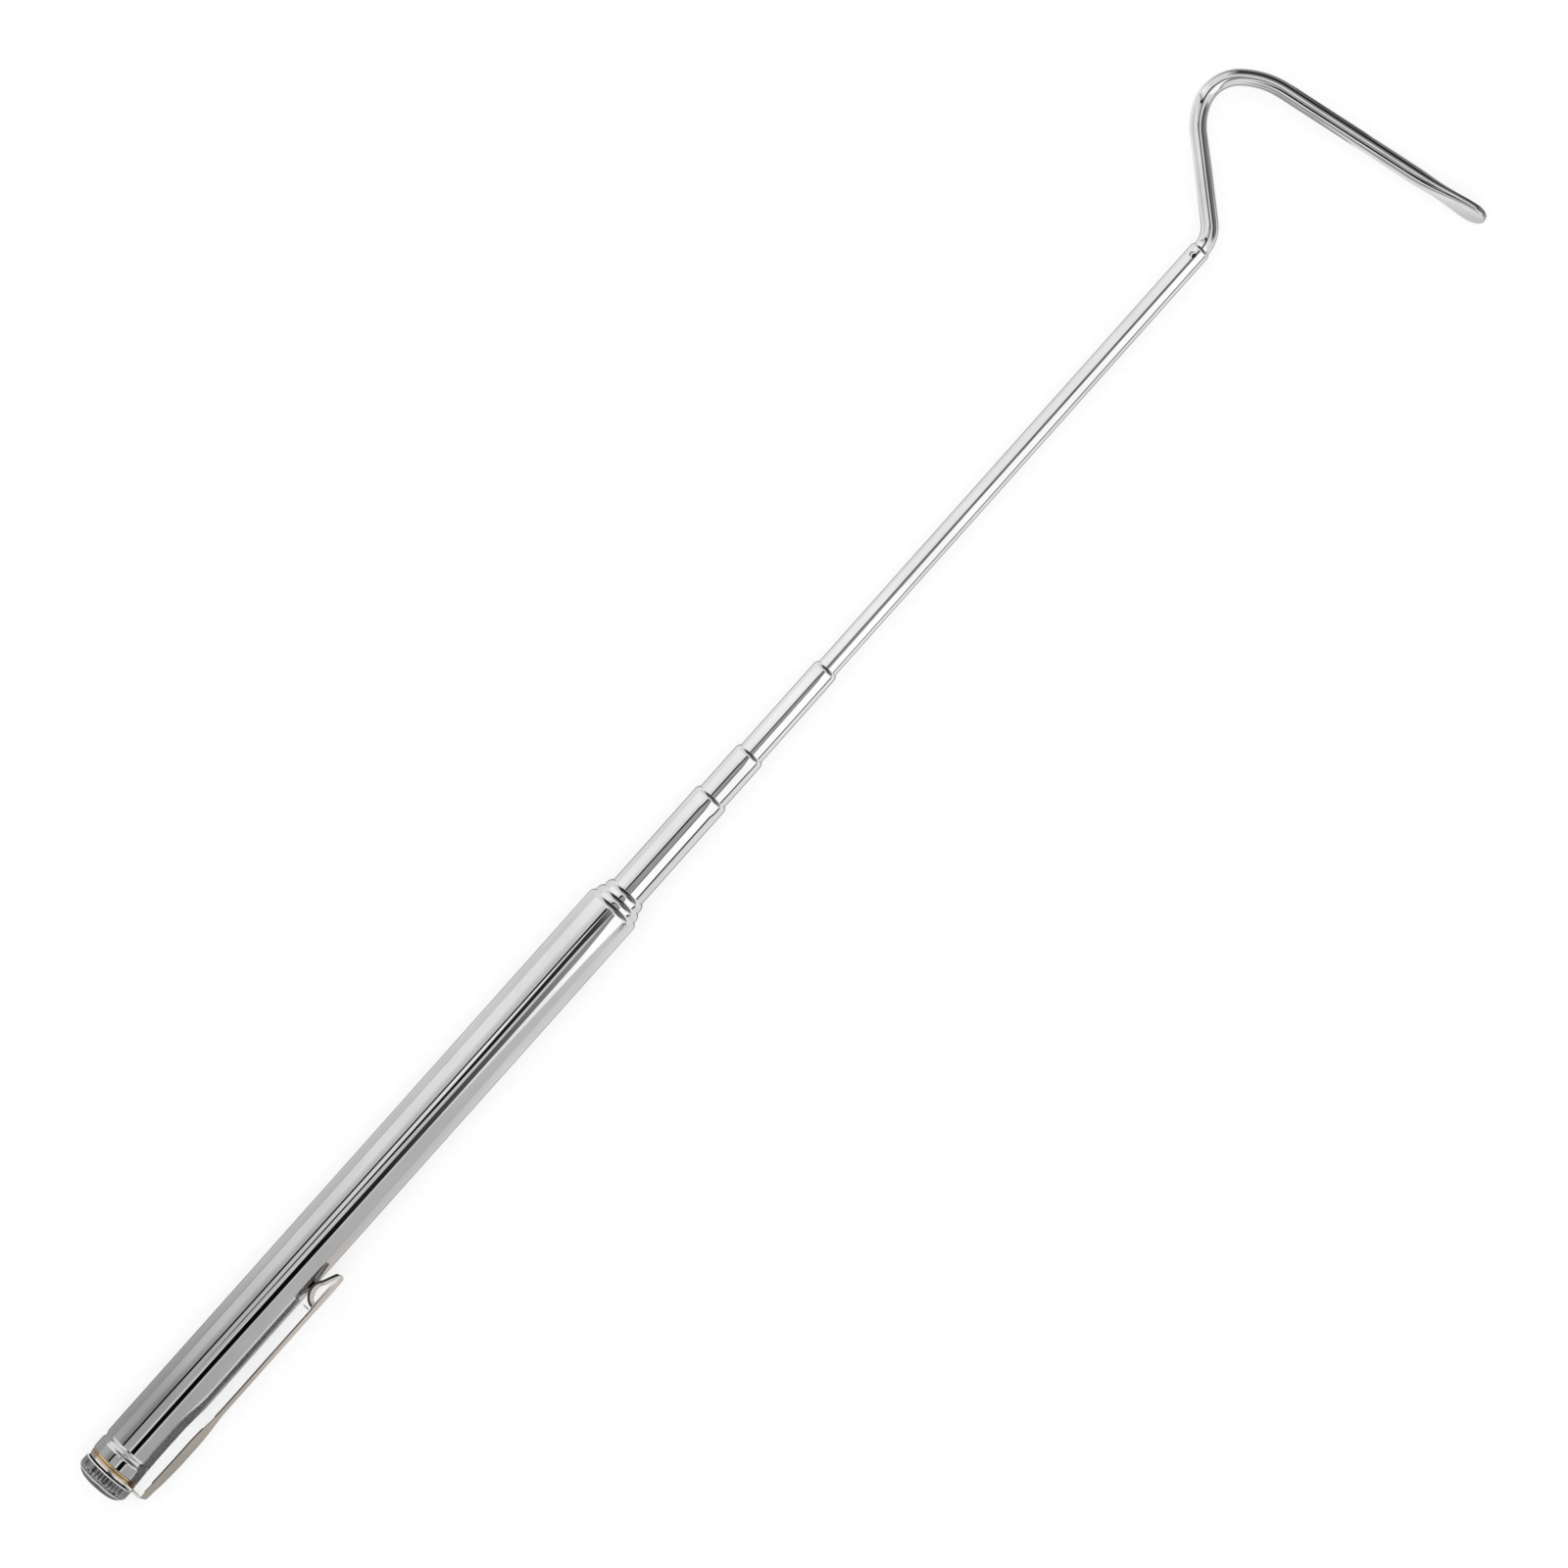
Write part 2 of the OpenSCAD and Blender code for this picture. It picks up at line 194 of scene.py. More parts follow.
def rounded_mouth(i):
    """Outline of a closed-in tube mouth, from the tube's side over the round to the bore behind the lip."""
    lip_r = outer_r[i + 1] + slide_fit if i < 6 else rod_r + rod_fit
    drop = mouth_share * (outer_r[i] - lip_r)
    round_r = mouth_round * drop
    back = math.sqrt(round_r ** 2 - (round_r - drop) ** 2)
    low = math.degrees(math.asin((round_r - drop) / round_r))
    points = arc(front[i] - back, outer_r[i] - round_r, round_r, 90, low, 10)
    bore = outer_r[i] - wall[i]
    points += [(front[i], lip_r + 0.02), (front[i] - 0.03, lip_r),
               (front[i] - lip_long, lip_r), (front[i] - lip_long - (bore - lip_r), bore)]
    return points


# ---------------------------------------------------------------- finishes

def new_finish(name):
    finish = bpy.data.materials.new(name)
    finish.use_nodes = True
    nodes, links = finish.node_tree.nodes, finish.node_tree.links
    nodes.clear()
    output = nodes.new("ShaderNodeOutputMaterial")
    shader = nodes.new("ShaderNodeBsdfPrincipled")
    links.new(shader.outputs["BSDF"], output.inputs["Surface"])
    place = nodes.new("ShaderNodeTexCoord")
    return finish, nodes, links, shader, place


def grain(nodes, links, place, scale, size, detail):
    """A noise pattern on the piece's own coordinates, stretched by scale along each axis."""
    mapping = nodes.new("ShaderNodeMapping")
    mapping.inputs["Scale"].default_value = scale
    links.new(place.outputs["Object"], mapping.inputs["Vector"])
    noise = nodes.new("ShaderNodeTexNoise")
    noise.inputs["Scale"].default_value = size
    noise.inputs["Detail"].default_value = detail
    links.new(mapping.outputs["Vector"], noise.inputs["Vector"])
    return noise.outputs["Fac"]


def between(nodes, links, source, low, high, from_low=0.3, from_high=0.7):
    span = nodes.new("ShaderNodeMapRange")
    span.inputs["From Min"].default_value = from_low
    span.inputs["From Max"].default_value = from_high
    span.inputs["To Min"].default_value = low
    span.inputs["To Max"].default_value = high
    links.new(source, span.inputs["Value"])
    return span.outputs["Result"]


def tones(nodes, links, source, stops):
    """A colour ramp from (place, colour) stops."""
    ramp = nodes.new("ShaderNodeValToRGB")
    elements = ramp.color_ramp.elements
    while len(elements) > 1:
        elements.remove(elements[-1])
    for k, (at, colour) in enumerate(stops):
        element = elements[0] if k == 0 else elements.new(at)
        element.position = at
        element.color = (*colour, 1)
    links.new(source, ramp.inputs["Fac"])
    return ramp.outputs["Color"]


line_height = 0.00004
along_tool = (60, 3000, 3000)


def metal(name, dark, light, smooth, dull, lines=(40, 4000, 4000), line_depth=0.02, metallic=1.0):
    """Plated or drawn metal: cloudy tone, a haze of handling wear, and fine drawn lines and scratches."""
    finish, nodes, links, shader, place = new_finish(name)
    shader.inputs["Metallic"].default_value = metallic
    cloud = grain(nodes, links, place, (60, 160, 160), 1.0, 3.0)
    links.new(tones(nodes, links, cloud, [(0.3, dark), (0.7, light)]), shader.inputs["Base Color"])
    haze = grain(nodes, links, place, (110, 300, 300), 1.0, 6.0)
    drawn = grain(nodes, links, place, lines, 1.0, 2.0)
    worn = between(nodes, links, haze, smooth, dull)
    fine = between(nodes, links, drawn, 0.75, 1.35)
    rough = nodes.new("ShaderNodeMath")
    rough.operation = "MULTIPLY"
    links.new(worn, rough.inputs[0])
    links.new(fine, rough.inputs[1])
    links.new(rough.outputs["Value"], shader.inputs["Roughness"])
    bump = nodes.new("ShaderNodeBump")
    bump.inputs["Strength"].default_value = line_depth
    bump.inputs["Distance"].default_value = line_height
    links.new(drawn, bump.inputs["Height"])
    links.new(bump.outputs["Normal"], shader.inputs["Normal"])
    return finish


chrome = metal("polished chrome", (0.60, 0.60, 0.61), (0.68, 0.68, 0.69), 0.012, 0.034, line_depth=0.006)
# Knurled band: the cap's chrome with a much darker base colour, painted shade for the light lost in the
# knurl
knurled_chrome_painted_shade = metal("knurled chrome painted shade", (0.22, 0.22, 0.23), (0.34, 0.34, 0.35), 0.05, 0.12,
                   (1500, 1500, 1500), 0.03)
# Near-black metal for the cap's hub: painted shade in the gap between the cap and the clip ring
painted_gap_shade = metal("painted gap shade", (0.02, 0.02, 0.02), (0.045, 0.04, 0.04), 0.3, 0.5,
                 (1500, 1500, 1500), 0.05)
clip_nickel = metal("clip nickel", (0.60, 0.57, 0.54), (0.70, 0.67, 0.64), 0.04, 0.10, along_tool, 0.02)
# Near-white, barely metallic finish: painted highlights on the cap's row of dots and chamfer, painted bright
# reflection on the clip's flanges and channel
painted_highlight_white = metal("painted highlight white", (0.88, 0.88, 0.87), (0.95, 0.95, 0.94), 0.38, 0.55,
                     along_tool, 0.05, metallic=0.2)
# Near-black metal for the clip's rounded outer corners and the bow's sides: painted reflection of dark
# surroundings, seen as dark lines
painted_dark_edge = metal("painted dark edge", (0.03, 0.028, 0.025), (0.07, 0.065, 0.06), 0.20, 0.36,
                      along_tool, 0.03)
hook_nickel = metal("hook nickel", (0.60, 0.60, 0.61), (0.69, 0.69, 0.70), 0.014, 0.04,
                    (1200, 1200, 1200), 0.01)
pin_steel = metal("pin steel", (0.012, 0.012, 0.012), (0.03, 0.03, 0.03), 0.3, 0.5,
                  (2500, 2500, 2500), 0.06)
turned_brass = metal("turned brass", (0.56, 0.41, 0.22), (0.72, 0.55, 0.33), 0.06, 0.14,
                     (4000, 300, 300), 0.04)
spring_bronze = metal("spring bronze", (0.46, 0.25, 0.11), (0.62, 0.38, 0.19), 0.20, 0.38,
                      (80, 2500, 2500), 0.05)


def finish_with(piece, *finishes):
    """The first finish covers the piece; the rest wait for coat()."""
    piece.data.materials.clear()
    for finish in finishes:
        piece.data.materials.append(finish)


def coat(piece, slot, test):
    """In object mode, gives the faces that pass a test another of the piece's finishes."""
    pick_up(piece)
    bpy.ops.object.mode_set(mode="EDIT")
    pick(piece, "faces", test)
    piece.active_material_index = slot
    bpy.ops.object.material_slot_assign()
    bpy.ops.mesh.select_mode(type="VERT")
    bpy.ops.object.mode_set(mode="OBJECT")


# ---------------------------------------------------------------- handle and tubes

groove_x, groove_w, groove_d, groove_steps = 8.6, 1.75, 0.28, 24
groove_line = [(groove_x + groove_w * (k / groove_steps - 0.5),
                handle_r - groove_d / 2 * (1 - math.cos(2 * math.pi * k / groove_steps)))
               for k in range(groove_steps + 1)]
beside_groove = groove_w / 2 + 0.25
bore = handle_r - 0.4
handle_outline = [(handle_back, bore + 0.02), (handle_back, handle_r - 0.06),
                  (handle_back + 0.06, handle_r), (groove_x - beside_groove, handle_r)]
handle_outline += groove_line + [(groove_x + beside_groove, handle_r)]
handle_outline += [(x, handle_r) for x in (60, 110, 140)] + rounded_mouth(0)
handle_outline += [(12.2, bore), (9.6, bore), (9.1, bore - 0.22), (8.6, bore - 0.28), (8.1, bore - 0.22),
                   (7.6, bore)]
handle = turned("handle", handle_outline, 128)
soften(handle, 0, 32)
finish_with(handle, chrome)
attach(handle, "handle")
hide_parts("handle_tube")


bead_from_rear, bead_fit = 13.6, 0.08


def sliding_tube(i):
    """A tube with its stop bead near the rear end and its closed-in mouth."""
    inner = outer_r[i] - wall[i]
    bead = outer_r[i - 1] - wall[i - 1] - bead_fit
    bead_at = rear[i] + bead_from_rear
    outline = [(rear[i], inner), (rear[i], outer_r[i] - 0.05), (rear[i] + 0.05, outer_r[i]),
               (bead_at, outer_r[i]), (bead_at + 0.1, bead), (bead_at + 0.7, bead),
               (bead_at + 0.8, outer_r[i]), (bead_at + 40, outer_r[i]),
               (front[i] - 3.2, outer_r[i])] + rounded_mouth(i)
    tube = turned("sliding_tube_%d" % i, outline, 112)
    soften(tube, 0, 32)
    finish_with(tube, chrome)
    return tube


tubes = [sliding_tube(i) for i in range(1, 7)]

# The last tube is drilled for the cross pin
pin_x = front[6] - 2.1
pin_r, pin_hole_r = 0.6, 0.66
pin_turn = math.radians(-16)
put_away()
bpy.ops.mesh.primitive_cylinder_add(vertices=40, radius=pin_hole_r * MM, depth=8 * MM,
                                    location=(pin_x * MM, 0, 0), rotation=(pin_turn, 0, 0))
drill = bpy.context.object
pick_up(tubes[5])
cut = tubes[5].modifiers.new("pin hole", "BOOLEAN")
cut.object = drill
cut.operation = "DIFFERENCE"
cut.solver = "EXACT"
bpy.ops.object.modifier_apply(modifier=cut.name)
bpy.data.objects.remove(drill)
for i, tube in enumerate(tubes, 1):
    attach(tube, "section_%d" % i)
    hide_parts("tube_%d" % i)

# Cross pin with domed ends, set a little below the tube's surface
pin_half = math.sqrt(outer_r[6] ** 2 - pin_r ** 2)
pin_outline = [(-pin_half, 0), (-pin_half, 0.38), (-pin_half + 0.05, 0.52), (-pin_half + 0.14, pin_r),
               (pin_half - 0.14, pin_r), (pin_half - 0.05, 0.52), (pin_half, 0.38), (pin_half, 0)]
pin = turned("cross_pin", pin_outline, 40)
pin.rotation_euler = (pin_turn, math.radians(90), 0)
pin.rotation_mode = "XYZ"
pin.location = (pin_x * MM, 0, 0)
settle(pin)
soften(pin, 0, 50)
finish_with(pin, pin_steel)
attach(pin, "section_6")
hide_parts("hook_pin")


# ---------------------------------------------------------------- rings and end cap

thread_bore = 2.95
ring_round = 0.25
brass_washer = turned("brass_ring", [(4.5, thread_bore), (4.5, 5.12)]
                      + arc(4.75, 5.1, ring_round, 180, 0, 8) + [(5.0, thread_bore)])
soften(brass_washer, 0, 30)
finish_with(brass_washer, turned_brass)
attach(brass_washer, "clip_mount")
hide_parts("brass_washer")

insert_outline = ([(5.02, thread_bore), (5.02, 5.14)] + arc(5.27, 5.15, ring_round, 180, 0, 8)
                  + [(5.52, 5.08), (7.5, 5.08), (8.0, 4.86), (8.6, 4.76), (9.2, 4.86), (9.7, 5.08),
                     (12.1, 5.08), (12.2, 4.98), (12.2, thread_bore)])
insert = turned("threaded_bush", insert_outline)
soften(insert, 0, 30)
finish_with(insert, turned_brass)
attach(insert, "handle")
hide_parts("thread_insert")

# Cap: flat, dome, knurled land, chamfer, hub and shank with ring grooves
cap_round, cap_flat = 2.93, 2.8
knurl_n, knurl_depth, knurl_parts = 40, 0.24, 6
hub_r, shank_r, root_r = 4.5, 2.9, 2.62
cap_outline = [(0, 0), (0, 1.4), (0, 2.6)]
cap_outline += [(cap_round - cap_round * math.cos(math.radians(a)),
                 cap_flat + cap_round * math.sin(math.radians(a)))
                for a in (3, 10, 18, 26, 34, 42, 50, 54, 58, 62, 66.5)]
cap_outline += [(x, handle_r) for x in (1.86, 2.4, 3.0, 3.38)]
cap_outline += [(3.6, 5.2), (3.62, hub_r), (3.98, hub_r), (3.98, shank_r)]
thread_x, thread_end, thread_pitch = 5.0, 9.6, 0.75
while thread_x < thread_end:
    cap_outline += [(thread_x - 0.26, shank_r), (thread_x - 0.03, root_r),
                    (thread_x + 0.03, root_r), (thread_x + 0.26, shank_r)]
    thread_x += thread_pitch
cap_outline += [(9.9, shank_r), (10.4, 2.5), (10.4, 0)]
cap = turned("knurled_cap", cap_outline, knurl_n * knurl_parts)

# Each knurl groove is pressed in, deepest along its middle
pick_up(cap)
bpy.ops.object.mode_set(mode="EDIT")


def groove_place(v):
    """How far a point is from the nearest groove's middle, in sixths of the knurl's pitch."""
    turn = math.degrees(math.atan2(v.co.y, v.co.z)) % (360 / knurl_n)
    step = round(turn / (360 / knurl_n / knurl_parts)) % knurl_parts
    return min(step, knurl_parts - step)


rings = sorted({round(x, 3) for x, r in cap_outline if 0.9 < x < 3.9 and r > 4.7})
for column, share in ((0, 1.0), (1, 0.52)):
    floor_r = handle_r - knurl_depth * share
    for x in rings:
        ring_r = max(r for px, r in cap_outline if abs(px - x) < 0.002)
        if ring_r <= floor_r + 0.01:
            continue
        pick(cap, "verts", lambda v: abs(v.co.x / MM - x) < 0.004
             and abs(off_axis(v.co) / MM - ring_r) < 0.01 and groove_place(v) == column)
        squeeze = floor_r / ring_r
        bpy.ops.transform.resize(value=(1, squeeze, squeeze), center_override=(x * MM, 0, 0))
bpy.ops.object.mode_set(mode="OBJECT")
soften(cap, 0, 24)
finish_with(cap, knurled_chrome_painted_shade, chrome, painted_gap_shade, painted_highlight_white)


def on_shoulder(c):
    """On the row of dots beside the dome, or on the chamfer at the other end."""
    return (0.9 < c.x < 1.25 or 3.39 < c.x < 3.6) and off_axis(c) > 4.9


coat(cap, 1, lambda f: centre(f).x < 0.9)
# The row of dots and the chamfer are painted near-white: painted highlights
coat(cap, 3, lambda f: on_shoulder(centre(f)))
# The hub between the chamfer and the shank is painted near-black: painted shade for the gap before the clip
# ring
coat(cap, 2, lambda f: 3.59 < centre(f).x < 4 and off_axis(centre(f)) < 5.2)
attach(cap, "cap")
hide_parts("end_cap")


# ---------------------------------------------------------------- pocket clip

# The clip is bent up from its ring: the rim's faces under the tab are pulled out, turned over the bend
# and drawn along the strip. It is made upright, with Z out from the tool's axis, then leaned over.
clip_t, clip_top = 0.45, 8.7
ring_x, ring_r, ring_t = 4, 5.2, 0.5
tab_half = ring_r * math.sin(math.radians(25))


def clip_half_width(x):
    """Half the strip's width along the tool."""
    marks = [(4.6, 2.2), (8, 2.95), (12, 3.27), (14, 3.3), (18.5, 3.3), (19.8, 3.2), (22, 2.72),
             (25, 1.8), (26.5, 1.58), (28, 1.55), (57, 1.55), (59.2, 1.5), (60.4, 1.25)]
    for (x_a, w_a), (x_b, w_b) in zip(marks, marks[1:]):
        if x <= x_b:
            return w_a + (w_b - w_a) * max(0, x - x_a) / (x_b - x_a)
    return marks[-1][1]


put_away()
bpy.ops.mesh.primitive_circle_add(vertices=72, radius=ring_r * MM, location=(ring_x * MM, 0, 0),
                                  rotation=(0, math.pi / 2, 0))
clip = bpy.context.object
clip.name = "pocket_clip"
settle(clip)
bpy.ops.object.mode_set(mode="EDIT")
bpy.ops.mesh.select_all(action="SELECT")
bpy.ops.mesh.extrude_region_move(TRANSFORM_OT_translate={"value": (0, 0, 0)})
bpy.ops.transform.resize(value=(1, thread_bore / ring_r, thread_bore / ring_r),
                         center_override=(ring_x * MM, 0, 0))
bpy.ops.mesh.select_all(action="SELECT")
bpy.ops.mesh.extrude_region_move(TRANSFORM_OT_translate={"value": (ring_t * MM, 0, 0)})
bpy.ops.mesh.select_all(action="SELECT")
bpy.ops.mesh.normals_make_consistent(inside=False)
pick(clip, "faces", lambda f: off_axis(centre(f)) > 5.1
     and abs(math.degrees(math.atan2(centre(f).y, centre(f).z))) < 24)
bpy.ops.mesh.extrude_region_move(TRANSFORM_OT_translate={"value": (0, 0, 1.6 * MM)})
bpy.ops.transform.resize(value=(1, 1, 0), center_override=(4.25 * MM, 0, 6.4 * MM))


def sweep(centre_x, centre_z, radius, angles):
    """Stations round an arc, each heading along it, from the angles of their places on it."""
    return [(centre_x + radius * math.cos(math.radians(a)), centre_z + radius * math.sin(math.radians(a)),
             a - 90) for a in angles]


def strip_path():
    """Middle of the sheet (x, z) and heading in side view, from the tab round the bend to the bow."""
    half = clip_t / 2
    bend_r, fold_r, bow_r = 0.38, 0.42, 3.15
    stations = [(4.25, 7.2, 90.0)]
    stations += sweep(4.62, 7.68, bend_r, [180 - 85.5 * k / 8 for k in range(1, 9)])
    stations += [(x, z - half, h) for x, z, h in ((6.0, 8.35, 4.5), (8.0, 8.5, 3.2), (10, 8.58, 2.2),
                                                  (12, 8.65, 1.4))]
    stations += [(x, clip_top - half, 0) for x in (14, 16.5, 18.5, 19.8, 22, 25, 26.5, 28, 36, 44,
                                                   51.6, 52.2, 57, 59.2)]
    stations += sweep(59.75, clip_top - half - fold_r, fold_r, [90 - 141.0 * k / 8 for k in range(1, 9)])
    stations += sweep(55.4, 5.6 + bow_r, bow_r - half, [-46 - 122.0 * k / 16 for k in range(17)])
    return stations


at_x, at_z, heading = 4.25, 6.4, 90.0
wide = tab_half
for x, z, turn in strip_path():
    bpy.ops.mesh.extrude_region_move(TRANSFORM_OT_translate={"value": ((x - at_x) * MM, 0, (z - at_z) * MM)})
    swing = math.radians(turn - heading)
    if abs(swing) > 1e-5:
        bpy.ops.transform.rotate(value=swing, orient_axis="Y", center_override=(x * MM, 0, z * MM))
    goal = clip_half_width(x) if x > 4.6 else tab_half
    if x < 54 and turn < -150:
        goal = 1.5
    if abs(goal - wide) > 1e-4:
        bpy.ops.transform.resize(value=(1, goal / wide, 1), center_override=(x * MM, 0, z * MM))
        wide = goal
    at_x, at_z, heading = x, z, turn
bpy.ops.object.mode_set(mode="OBJECT")

# Side flanges are drawn down from the strip's outer columns
bpy.ops.object.mode_set(mode="EDIT")
bpy.ops.mesh.select_all(action="SELECT")
bpy.ops.mesh.normals_make_consistent(inside=False)
bpy.ops.mesh.select_all(action="DESELECT")


def under_edge(f):
    """A face on the strip's underside, in the column beside either edge."""
    c = centre(f)
    if not (4.9 < c.x < 51.9 and 7.7 < c.z < 8.5 and f.normal.z < -0.9):
        return False
    return abs(c.y) > 0.86 * clip_half_width(c.x)


pick(clip, "faces", under_edge)
bpy.ops.mesh.extrude_region_move(TRANSFORM_OT_translate={"value": (0, 0, -1.5 * MM)})
bpy.ops.transform.resize(value=(1, 1, 0), center_override=(20 * MM, 0, 6.2 * MM))


def outer_corner(e):
    """One of the long edges between the strip's outer face and its side."""
    ends = [v.co / MM for v in e.verts]
    return (all(4.9 < p.x < 52.3 and p.z > 8.2 and abs(abs(p.y) - clip_half_width(p.x)) < 0.03 for p in ends)
            and abs((ends[0] - ends[1]).normalized().x) > 0.8
            and len(e.link_faces) == 2 and any(f.normal.z > 0.7 for f in e.link_faces))


# The long outer corners are folded round, not sharp
pick(clip, "edges", outer_corner)
bpy.ops.mesh.bevel(offset=0.26 * MM, segments=3, affect="EDGES")
bpy.ops.mesh.select_all(action="SELECT")
bpy.ops.mesh.remove_doubles(threshold=1e-6)
bpy.ops.object.mode_set(mode="OBJECT")
finish_with(clip, clip_nickel, painted_highlight_white, painted_dark_edge)


def in_channel(c):
    return 4.9 < c.x < 52.3 and 6.1 < c.z < 8.8


def beside_bow(f):
    return centre(f).x > 52.4 and centre(f).z < 8.2 and abs(f.normal.y) > 0.9


# The clip's flange sides and the channel's underside are painted near-white: painted reflection standing in
# for reflected light
coat(clip, 1, lambda f: in_channel(centre(f)) and (abs(f.normal.y) > 0.9 or f.normal.z < -0.7))
# The rounded outer corners and the bow's sides are painted near-black: painted dark reflection lines
coat(clip, 2, lambda f: in_channel(centre(f)) and abs(f.normal.y) > 0.3 and f.normal.z > 0.25
     or beside_bow(f))
clip.rotation_euler = (math.radians(90 - clip_up), 0, 0)
settle(clip)
soften(clip, 0.06, 38)
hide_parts("clip_ring", "clip_arm")
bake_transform(clip)


# ---------------------------------------------------------------- hook

neck_bend, neck_angle, rise = 6.5, 49, 16.6
crown_bends = [(12.5, 27.7), (7.4, 70.5), (16.6, 31.5)]
leg, blade_long, blade_wide, blade_thick, blade_twist = 44.97, 16.5, 6.38, 1.9, -18
tip_long, blade_square, rod_size = 3.2, 0.45, 3.4
rod_inside, hook_roll = 14, 4.2
hook_start = front[6] - 0.2


def ease(u):
    return u * u * (3 - 2 * u)


def blade_share(blade):
    """How far the rod has turned into the blade, from 0 to 1, at a length of blade."""
    return ease(min(1, blade / (blade_long - blade_wide / 2)))


def rod_rings():
    """Rings of the straight rod before it is bent: distance along it, turn there, length of blade so far."""
    rings, along = [(0.0, 0.0, 0.0)], rod_inside
    rings += [(along - 2, 0.0, 0.0), (along, 0.0, 0.0)]

    def bend(radius, angle, side):
        nonlocal along
        steps = math.ceil(angle / 3.5)
        chord = 2 * radius * math.sin(math.radians(angle / steps / 2))
        for k in range(steps):
            along += chord
            rings.append((along, side * angle / steps, 0.0))

    bend(neck_bend, neck_angle, 1)
    for share in (0.1, 0.5, 0.9, 1.0):
        rings.append((along + rise * share, 0.0, 0.0))
    along += rise
    for radius, angle in crown_bends:
        bend(radius, angle, -1)
    start = along
    for share in (0.04, 0.35, 0.7, 0.96, 1.0):
        rings.append((start + (leg - blade_long) * share, 0.0, 0.0))
    along = start + leg - blade_long
    for k in range(1, 11):
        b = (blade_long - tip_long) * k / 10
        rings.append((along + b, 0.0, b))
    for k in range(1, 13):
        b = blade_long - tip_long + tip_long * math.sin(math.radians(89.0 * k / 12))
        rings.append((along + b, 0.0, b))
    return rings


put_away()
bpy.ops.mesh.primitive_circle_add(vertices=40, radius=rod_r * MM, fill_type="NGON",
                                  location=(0, 0, 0), rotation=(0, math.pi / 2, 0))
hook = bpy.context.object
hook.name = "steel_hook"
settle(hook)
bpy.ops.object.mode_set(mode="EDIT")
bpy.ops.mesh.select_all(action="SELECT")
rings = rod_rings()
flat_y, flat_z = 1.0, 1.0
flats = [(1.0, 1.0)]
for (a, _, _), (b, _, blade) in zip(rings, rings[1:]):
    bpy.ops.mesh.extrude_region_move(TRANSFORM_OT_translate={"value": ((b - a) * MM, 0, 0)})
    f = blade_share(blade)
    past = max(0, blade - (blade_long - blade_wide / 2)) / (blade_wide / 2)
    end = math.sqrt(max(0.0004, 1 - past * past))
    want_y = (1 + (blade_thick / rod_size - 1) * f) * (0.45 + 0.55 * end)
    want_z = (1 + (blade_wide / rod_size - 1) * f) * end
    if abs(want_y - flat_y) > 1e-6 or abs(want_z - flat_z) > 1e-6:
        bpy.ops.transform.resize(value=(1, want_y / flat_y, want_z / flat_z),
                                 center_override=(b * MM, 0, 0))
        flat_y, flat_z = want_y, want_z
    flats.append((flat_y, flat_z))
bpy.ops.mesh.select_all(action="SELECT")
bpy.ops.mesh.normals_make_consistent(inside=False)

# The blade's section is squarer than an oval: its columns of points are pushed out toward the corners
for (along, _, blade), (thick, wide) in zip(rings, flats):
    if blade < 0.1:
        continue
    square = blade_square * blade_share(blade)
    for column in range(1, 10):
        lean = math.radians(9 * column)
        pick(hook, "verts", lambda v: abs(v.co.x / MM - along) < 0.004
             and abs(abs(v.co.y) - rod_r * MM * thick * math.cos(lean)) < 0.012 * MM
             and abs(abs(v.co.z) - rod_r * MM * wide * math.sin(lean)) < 0.012 * MM)
        bpy.ops.transform.resize(value=(1, math.cos(lean) ** -square, math.sin(lean) ** -square),
                                 center_override=(along * MM, 0, 0))

# The blade is twisted a little about the rod, ring by ring
for along, _, blade in rings:
    if blade > 0.1:
        pick(hook, "verts", lambda v: abs(v.co.x / MM - along) < 0.01)
        bpy.ops.transform.rotate(value=-math.radians(blade_twist * blade_share(blade)), orient_axis="X",
                                 center_override=(along * MM, 0, 0))
bpy.ops.object.mode_set(mode="OBJECT")

# Rings keep their number through the bending, so each turn moves all that lies beyond it
co = np.array([v.co for v in hook.data.vertices])
ring_of = [int(np.argmin([abs(x / MM - a) for a, _, _ in rings])) for x in co[:, 0]]
middles = [Vector((a * MM, 0, 0)) for a, _, _ in rings]
bpy.ops.object.mode_set(mode="EDIT")


def swing_beyond(first, pivot, degrees):
    """Turns every ring from the given one on about a pivot, toward +Y for a positive angle."""
    pick(hook, "verts", lambda v: ring_of[v.index] >= first)
    bpy.ops.transform.rotate(value=-math.radians(degrees), orient_axis="Z", center_override=tuple(pivot))
    turn = Matrix.Rotation(math.radians(degrees), 4, "Z")
    for k in range(first, len(middles)):
        middles[k] = pivot + turn @ (middles[k] - pivot)


for k in range(1, len(rings)):
    turn = rings[k][1]
    if turn:
        swing_beyond(k, middles[k - 1].copy(), turn / 2)
        swing_beyond(k, middles[k].copy(), turn / 2)
bpy.ops.object.mode_set(mode="OBJECT")
hook.location = ((hook_start - rod_inside) * MM, 0, 0)
settle(hook)
hook.rotation_euler = (math.radians(hook_roll), 0, 0)
settle(hook)
soften(hook, 0, 60, even=False)
finish_with(hook, hook_nickel)
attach(hook, "section_6")
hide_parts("hook")

# Bushes and friction springs inside keep their made shape and take their metal's finish
for i in range(1, 7):
    finish_with(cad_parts["base_collar_%d" % i], turned_brass)
    finish_with(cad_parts["friction_springs_%d" % i], spring_bronze)


# ---------------------------------------------------------------- floor and light

def grey(level):
    """Linear value of a display grey from 0 to 255."""
    s = level / 255
    return s / 12.92 if s <= 0.04045 else ((s + 0.055) / 1.055) ** 2.4


chrome_share = 0.64    # of the light that falls on it


def mirrored(level):
    """How bright a panel has to be for polished chrome to show it at this grey."""
    return grey(level) / chrome_share


